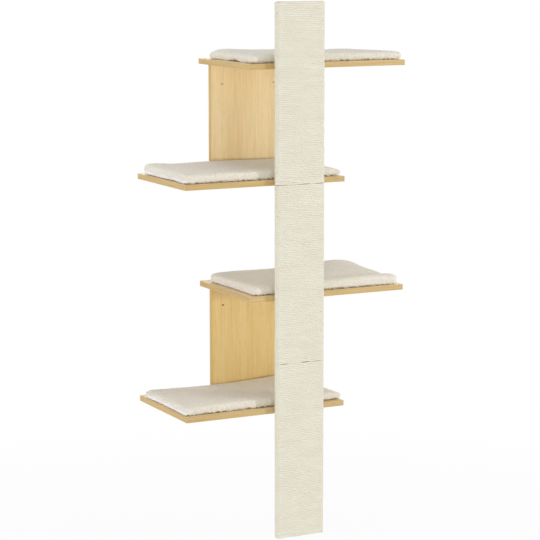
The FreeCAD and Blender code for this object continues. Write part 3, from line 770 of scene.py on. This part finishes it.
# Each cushion's height above its patches; its four corners, back left, front left, front right
# and back right, as (radius, shift in x, shift in y); and its humps and dips: x and y from its
# middle as shares of its half length and half depth, the change in height, and the two reaches.
# Lifts are the same for stretches of the rim that curl up off the shelf. The backing shows up to
# the rim height at the two short ends.
cushionShapes = {
    "top": {
        "height": 18 * mm,
        "rim": 5 * mm,
        "corners": ((38 * mm, -6 * mm, 0), (16 * mm, -3 * mm, -3 * mm),
                    (8 * mm, 12 * mm, -6 * mm), (34 * mm, 3 * mm, 0)),
        "humps": ((-0.80, 0.95, 4 * mm, 0.24, 0.8), (-1.05, 0.9, -5 * mm, 0.12, 0.8),
                  (0.6, 0.9, -5 * mm, 0.5, 0.8), (0.1, -0.9, 2 * mm, 0.5, 0.5),
                  (1.0, 0.3, -3 * mm, 0.14, 0.6)),
        "lifts": ((-1.0, -0.2, 6 * mm, 0.1, 0.15),),
    },
    "upper": {
        "height": 22 * mm,
        "rim": 11 * mm,
        "corners": ((24 * mm, -13 * mm, 0), (10 * mm, -13 * mm, -7 * mm),
                    (14 * mm, 13 * mm, -6 * mm), (22 * mm, 10 * mm, 0)),
        "humps": ((-0.95, 0.9, 4 * mm, 0.2, 0.7), (-0.1, 0.9, 2 * mm, 0.4, 0.6),
                  (0.5, -0.9, 2 * mm, 0.3, 0.5), (1.12, -0.2, -17 * mm, 0.17, 1.3)),
        "lifts": ((-1.0, -0.4, 1.5 * mm, 0.1, 0.3), (1.0, -0.9, 4 * mm, 0.06, 0.3)),
    },
    "lower": {
        "height": 21 * mm,
        "rim": 9 * mm,
        "corners": ((26 * mm, -2 * mm, 0), (16 * mm, 2 * mm, -8 * mm),
                    (12 * mm, 3 * mm, -8 * mm), (18 * mm, 0, 0)),
        "humps": ((0.76, 0.85, 11 * mm, 0.30, 0.62), (0.5, -0.56, -5 * mm, 0.55, 0.16),
                  (0.2, -0.2, 3 * mm, 0.16, 0.34), (-0.6, 0.9, 1 * mm, 0.3, 0.5),
                  (0.6, -0.96, 5 * mm, 0.6, 0.2)),
        "lifts": (),
    },
    "bottom": {
        "height": 19 * mm,
        "rim": 11 * mm,
        "corners": ((24 * mm, -16 * mm, 0), (12 * mm, -16 * mm, -2 * mm),
                    (14 * mm, 18 * mm, -3 * mm), (24 * mm, 12 * mm, 0)),
        "humps": ((-0.2, 0.95, -6 * mm, 0.9, 0.45), (-0.4, -0.85, 4 * mm, 0.6, 0.4),
                  (0.85, 0.3, 5 * mm, 0.3, 1.0), (1.14, -0.2, -11 * mm, 0.14, 1.3)),
        "lifts": ((1.0, -0.9, 3 * mm, 0.06, 0.3),),
    },
}


def cushionOutline(look, halfX, halfY, corners):
    # Four quarter circles, from the back left corner against the clock, joined by parabolas
    # that draw in between them.
    arcs = []
    for number, (radius, shiftX, shiftY) in enumerate(corners):
        signX, signY = ((-1, 1), (-1, -1), (1, -1), (1, 1))[number]
        angle = np.radians(90 + 90 * number + np.linspace(0, 90, look["cornerPoints"]))
        arcs.append(np.stack([signX * (halfX - radius) + shiftX + radius * np.cos(angle),
                              signY * (halfY - radius) + shiftY + radius * np.sin(angle)],
                             axis=1))
    outline = []
    for number, arc in enumerate(arcs):
        following = arcs[(number + 1) % 4][0]
        count = look["endPoints"] + look["longExtra"] * (number % 2)
        share = np.linspace(0, 1, count)[1:-1, None]
        turned = math.radians(180 + 90 * number)
        inward = -np.array([math.cos(turned), math.sin(turned)])
        outline.append(arc)
        outline.append(arc[-1] + (following - arc[-1]) * share
                       + inward * 4 * share * (1 - share) * look["drawIn"])
    return np.concatenate(outline)


def cushionSurface(row):
    # Two parameters: a place round the outline and a share from the middle of the underside, out
    # to the edge and back to the middle of the top. The edge's section is a superellipse, the
    # rim hangs down, and the top follows the humps.
    look = cushionLook
    shape = cushionShapes[row]
    low, high = (np.array(corner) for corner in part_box(f"{row}_cushion"))
    middle = (low + high) / 2
    halfX, halfY = (high - low)[:2] / 2
    outline = cushionOutline(look, halfX, halfY, shape["corners"])
    spine = np.column_stack([np.clip(outline[:, 0], -(halfX - halfY), halfX - halfY),
                             np.zeros(len(outline))])
    edge = look["edge"]
    turn = np.radians(np.linspace(-90, 90, look["edgeRings"]))
    power = 2 / look["squareness"]
    bulge = np.cos(turn) ** power
    lift = 0.5 + 0.5 * np.sign(np.sin(turn)) * np.abs(np.sin(turn)) ** power
    flat = look["faceRings"]
    inset = np.concatenate([np.linspace(halfY, edge, flat)[:-1], edge * (1 - bulge),
                            np.linspace(edge, halfY, flat)[1:]])
    level = np.concatenate([np.zeros(flat - 1), lift, np.ones(flat - 1)])
    share = (inset / halfY)[:, None, None]
    plan = outline[None] * (1 - share) + spine[None] * share
    x, y = plan[..., 0] / halfX, plan[..., 1] / halfY

    def swellings(bells):
        total = np.zeros(x.shape)
        for atX, atY, change, reachX, reachY in bells:
            total += change * np.exp(-((x - atX) / reachX) ** 2 - ((y - atY) / reachY) ** 2)
        return total

    height = shape["height"] + swellings(shape["humps"])
    height += look["crown"] * (smoothStep(inset / look["crownReach"])[:, None] - 1)
    droop = look["droop"] * (1 - smoothStep((inset - edge) / look["droopReach"]))[:, None]
    z = level[:, None] * height + (1 - level[:, None]) * (swellings(shape["lifts"]) - droop)
    points = np.stack([middle[0] + plan[..., 0], middle[1] + plan[..., 1], low[2] + z], axis=-1)
    return points.reshape(-1, 3), gridFaces(*points.shape[:2])


def gatherMesh(source):
    depsgraph = bpy.context.evaluated_depsgraph_get()
    return bpy.data.meshes.new_from_object(source.evaluated_get(depsgraph), depsgraph=depsgraph)


def pointsOf(mesh):
    flat = np.empty(len(mesh.vertices) * 3)
    mesh.vertices.foreach_get("co", flat)
    return flat.reshape(-1, 3)


def normalsOf(mesh):
    flat = np.empty(len(mesh.vertices) * 3, np.float32)
    mesh.vertices.foreach_get("normal", flat)
    return flat.reshape(-1, 3).astype(float)


def puffUp(piece, look):
    # cloth under a little pressure, whose points may move only as far as the cap
    start = pointsOf(piece.data)
    cloth = piece.modifiers.new("cloth", "CLOTH")
    cloth.settings.use_pressure = True
    cloth.settings.uniform_pressure_force = look["pressure"]
    cloth.settings.effector_weights.gravity = 0
    cloth.settings.quality = look["clothQuality"]
    cloth.point_cache.frame_start = 1
    cloth.point_cache.frame_end = look["frames"]
    for step in range(1, look["frames"] + 1):
        bpy.context.scene.frame_set(step)
    depsgraph = bpy.context.evaluated_depsgraph_get()
    moved = pointsOf(piece.evaluated_get(depsgraph).data)
    piece.modifiers.remove(cloth)
    bpy.context.scene.frame_set(1)
    shift = moved - start
    length = np.linalg.norm(shift, axis=1, keepdims=True)
    cap = look["cap"]
    shift *= cap * np.tanh(length / cap) / np.maximum(length, 1e-9)
    piece.data.vertices.foreach_set("co", (start + shift).ravel())
    piece.data.update()


def cellNoise(places, cell, seed):
    # distance to the nearest of the random points that are scattered one to a cubic cell
    grid = np.floor(places / cell).astype(int)
    origin = grid.min(axis=0) - 1
    size = grid.max(axis=0) - origin + 3
    scatter = np.random.default_rng(seed).uniform(0, 1, (*size, 3))
    nearest = np.full(len(places), 9.0)
    for offset in np.ndindex(3, 3, 3):
        spot = grid - origin + np.array(offset) - 1
        seedPoint = (spot + origin + scatter[spot[:, 0], spot[:, 1], spot[:, 2]]) * cell
        nearest = np.minimum(nearest, np.linalg.norm(places - seedPoint, axis=1) / cell)
    return nearest


def facing(share, limits):
    # 0 up to the first limit, and 1 from the span beyond it
    start, span = limits
    return smoothStep((share - start) / span)


def makeCushion(row, seed):
    # an even skin over the cushion's surface, puffed up, with curls and tufts pushed out of it
    look = cushionLook
    draft = addObject(f"{row}_pad_draft", addMesh(f"{row}_pad_rough", *cushionSurface(row)))
    weld = draft.modifiers.new("weld", "WELD")
    weld.merge_threshold = look["seamGap"]
    remesh = draft.modifiers.new("remesh", "REMESH")
    remesh.mode = "VOXEL"
    remesh.voxel_size = look["voxel"]
    even = gatherMesh(draft)
    bpy.data.objects.remove(draft)
    pad = addObject(f"{row}_pad", even)
    puffUp(pad, look)
    finer = pad.modifiers.new("finer", "SUBSURF")
    finer.levels = finer.render_levels = 1
    mesh = gatherMesh(pad)
    pad.modifiers.clear()
    pad.data = mesh
    places = pointsOf(mesh)
    normals = normalsOf(mesh)
    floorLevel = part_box(f"{row}_shelf")[1][2] + look["shelfGap"]
    rise = places[:, 2] - floorLevel
    # the backing: the underside, and the lower part of the two short ends
    waveHeight, waveLength = look["wave"]
    border = (cushionShapes[row]["rim"]
              + waveHeight * np.sin(places[:, 1] / waveLength + seed))
    underside = facing(-normals[:, 2], look["underside"])
    endwards = facing(np.abs(normals[:, 0]), look["endFace"])
    backing = np.maximum(underside, endwards * smoothStep((border - rise) / waveHeight))
    curls = 1 - cellNoise(places, look["curl"], seed) * look["curlGain"]
    gain, floor = look["tuftGain"]
    ragged = smoothStep(cellNoise(places, look["tuft"], seed + 50) * gain - floor)
    atRim = (smoothStep((look["tuftTop"] - rise) / (look["tuftTop"] / 2))
             * facing(-normals[:, 1], look["frontFace"]))
    places = places + normals * (curls * look["curlDepth"] * (1 - backing))[:, None]
    places[:, 2] += ragged * atRim * look["tuftLift"]
    places[:, 2] = np.maximum(places[:, 2], floorLevel)
    mesh.vertices.foreach_set("co", places.ravel())
    stored = mesh.attributes.new("backing", "FLOAT", "POINT")
    stored.data.foreach_set("value", backing.astype(np.float32))
    shadeSmooth(mesh)
    mesh.materials.clear()
    mesh.materials.append(finishes["plush"])
    mesh.update()
    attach(pad, f"{row}_pad")
    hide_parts(f"{row}_cushion")
    print(f"{row} cushion: {len(mesh.vertices)} points")


for number, row in enumerate(rows):
    makeCushion(row, 100 + number)


# ---- room, light and camera ----

room = {
    "floorLevel": -1.32,
    "floorSize": 40.0,
    "tone": (0.86, 0.86, 0.86, 1),
    "roughness": 0.9,
    "glow": (0.88, 0.12),                      # its share near the object, and what far adds
    "glowSpan": (1.5, 3.5),
}

half = room["floorSize"] / 2
level = room["floorLevel"]
floorMesh = addMesh("floor", np.array([(-half, -half, level), (half, -half, level),
                                       (half, half, level), (-half, half, level)]),
                    np.array([(0, 1, 2, 3)]))
addObject("floor", floorMesh)
floorFinish = Finish("pale floor")
floorFinish.set(Base_Color=room["tone"], Roughness=room["roughness"])
seen = floorFinish.node("ShaderNodeLightPath", output="Is Camera Ray")
across = floorFinish.node("ShaderNodeVectorMath", {"operation": "LENGTH"},
                          {0: floorFinish.place()}, output="Value")
glow = floorFinish.node("ShaderNodeEmission", None, {"Color": (1, 1, 1, 1), "Strength": 1.0})
lit = Wire(floorFinish.tree, floorFinish.shader.outputs[0])
near, far = room["glow"]
mixed = floorFinish.node("ShaderNodeMixShader", None, {
    0: seen * (near + far * across.ramp(*room["glowSpan"])), 1: lit, 2: glow})
floorFinish.tree.links.new(mixed.socket, floorFinish.tree.nodes["Material Output"].inputs[0])
floorMesh.materials.append(floorFinish.material)

light = {
    "ambient": 0.50,
    "aim": (0.0, -0.15, -0.1),
    "key": {"at": (4.3, -3.8, 0.1), "power": 112, "size": 0.35},
    "ahead": {"at": (-3.0, -5.2, 0.9), "power": 32, "size": 1.6},
    "left": {"at": (-5.4, -1.1, 0.2), "power": 98, "size": 2.6},
    "rear": {"at": (1.8, 4.4, 2.2), "power": 55, "size": 3.0},
    "above": {"at": (0.4, -1.6, 4.6), "power": 52, "size": 3.0},
}


def addLamp(name, at, power, size):
    lamp = bpy.data.lights.new(name, "AREA")
    lamp.energy = power
    lamp.size = size
    holder = addObject(name, lamp)
    holder.location = at
    aim = Vector(light["aim"]) - Vector(at)
    holder.rotation_euler = aim.to_track_quat("-Z", "Y").to_euler()


for name in ("key", "ahead", "left", "rear", "above"):
    addLamp(name, **light[name])

# the world is white to the camera and in reflections, and dimmer as a light
world = bpy.data.worlds.new("studio")
bpy.context.scene.world = world
world.use_nodes = True
worldTree = world.node_tree
background = worldTree.nodes["Background"]
paths = addNode(worldTree, "ShaderNodeLightPath")
camera, glossy, through = (Wire(worldTree, paths.outputs[name]) for name in (
    "Is Camera Ray", "Is Glossy Ray", "Is Transmission Ray"))
shown = camera.maths("MAXIMUM", glossy).maths("MAXIMUM", through)
strength = light["ambient"] + shown * (1 - light["ambient"])
worldTree.links.new(strength.socket, background.inputs["Strength"])
background.inputs["Color"].default_value = (1, 1, 1, 1)

lens = {
    "focalPixels": 2087.655,
    "centrePixels": (279.985, 263.895),
    "framePixels": 540,
    "sensor": 36,
    "reach": 100,
    "azimuth": -27.226,
    "elevation": 8.93,
    "roll": 0.005,
    "at": (-2.6133, -5.2912, 0.7237),
}
view = bpy.data.cameras.new("camera")
view.sensor_width = lens["sensor"]
view.lens = lens["focalPixels"] / lens["framePixels"] * lens["sensor"]
view.shift_x = -(lens["centrePixels"][0] - lens["framePixels"] / 2) / lens["framePixels"]
view.shift_y = (lens["centrePixels"][1] - lens["framePixels"] / 2) / lens["framePixels"]
view.clip_end = lens["reach"]
viewer = addObject("camera", view)
azimuth, elevation = math.radians(lens["azimuth"]), math.radians(lens["elevation"])
towards = Vector((-math.sin(azimuth) * math.cos(elevation),
                  math.cos(azimuth) * math.cos(elevation), -math.sin(elevation)))
turned = towards.to_track_quat("-Z", "Y").to_matrix().to_4x4()
viewer.matrix_world = (Matrix.Translation(lens["at"]) @ turned
                       @ Matrix.Rotation(math.radians(lens["roll"]), 4, "Z"))
bpy.context.scene.camera = viewer
bpy.context.scene.view_settings.view_transform = "Standard"
print("room, lamps and camera")
